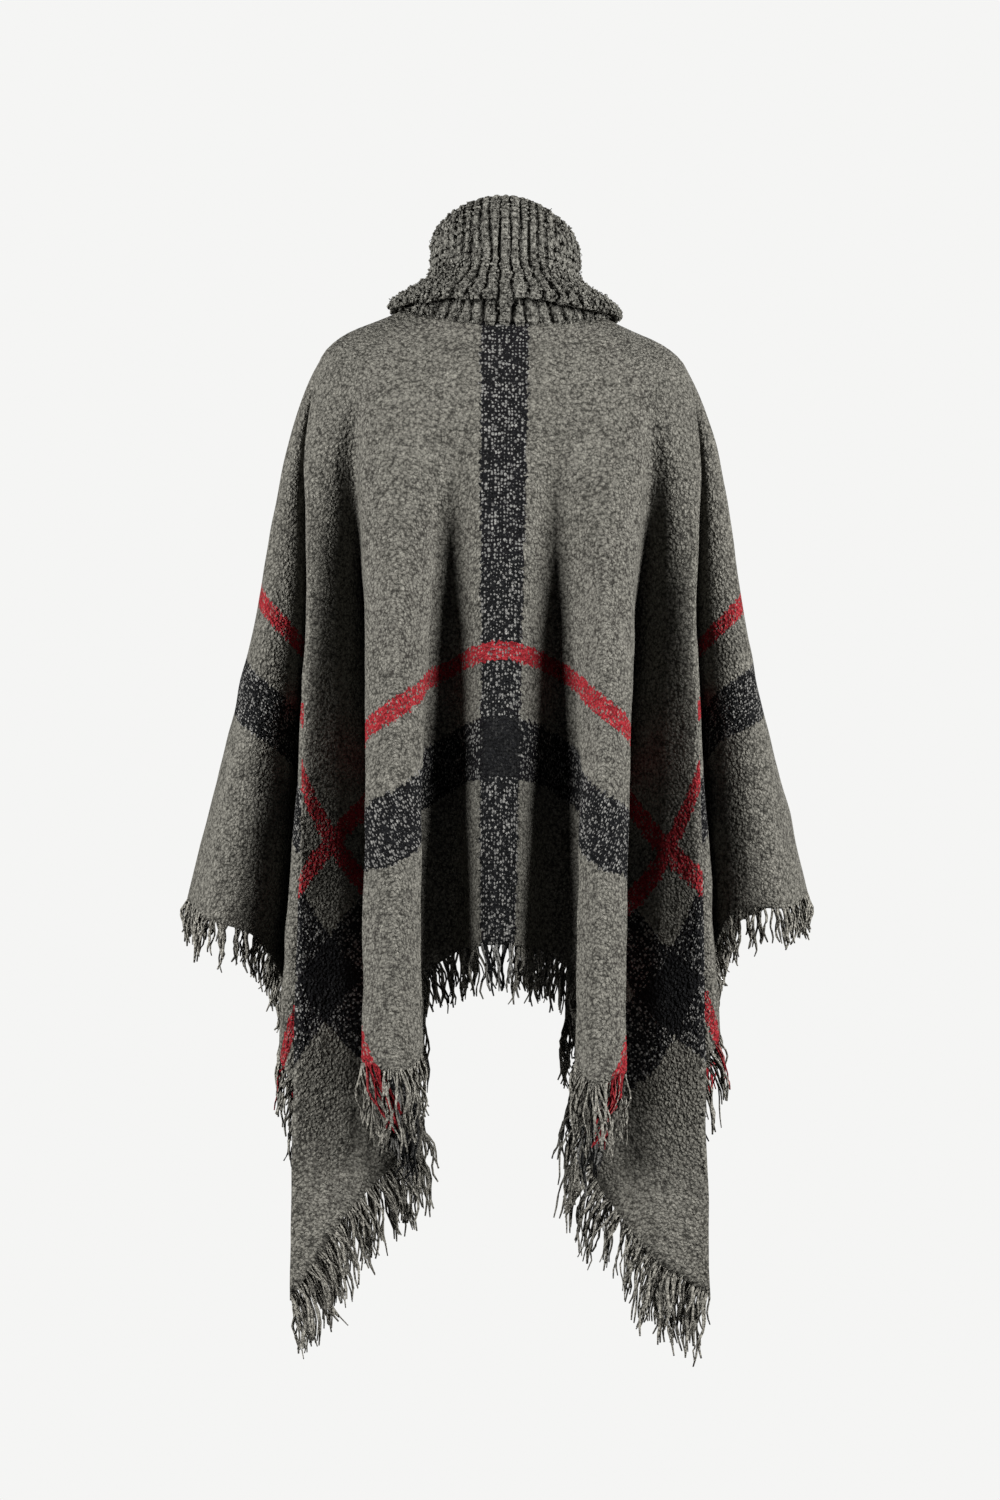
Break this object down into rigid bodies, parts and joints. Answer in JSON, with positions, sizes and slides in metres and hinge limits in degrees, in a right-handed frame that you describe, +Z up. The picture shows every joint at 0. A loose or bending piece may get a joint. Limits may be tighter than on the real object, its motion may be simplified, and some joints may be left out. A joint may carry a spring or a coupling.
{
  "type": "knitted poncho sweater",
  "caption": "Fringed check poncho with a ribbed turn-down collar, hanging in folds on an unseen wearer, open at the neck and hem.",
  "frame": {"origin": "centre of the base of the neck, where the garment rests on its wearer", "axes": "+Z up along the neck, -Y towards the garment's back, +X towards the wearer's right"},
  "size_m": [0.6343, 0.4233, 1.1329],
  "materials": {
    "check_cloth": "matte nubby wool blend in warm grey, with charcoal bands and red lines",
    "rib_knit": "matte nubby rib knit in warm grey",
    "fringe_yarn": "loose matte yarn, grey, charcoal or red like the band it leaves"
  },
  "bodies": {
    "root": {"cloth_back": "check_cloth", "cloth_front": "check_cloth", "collar": "rib_knit", "fringe_back": "fringe_yarn", "fringe_front": "fringe_yarn", "fringe_left": "fringe_yarn", "fringe_right": "fringe_yarn"}
  },
  "joints": []
}
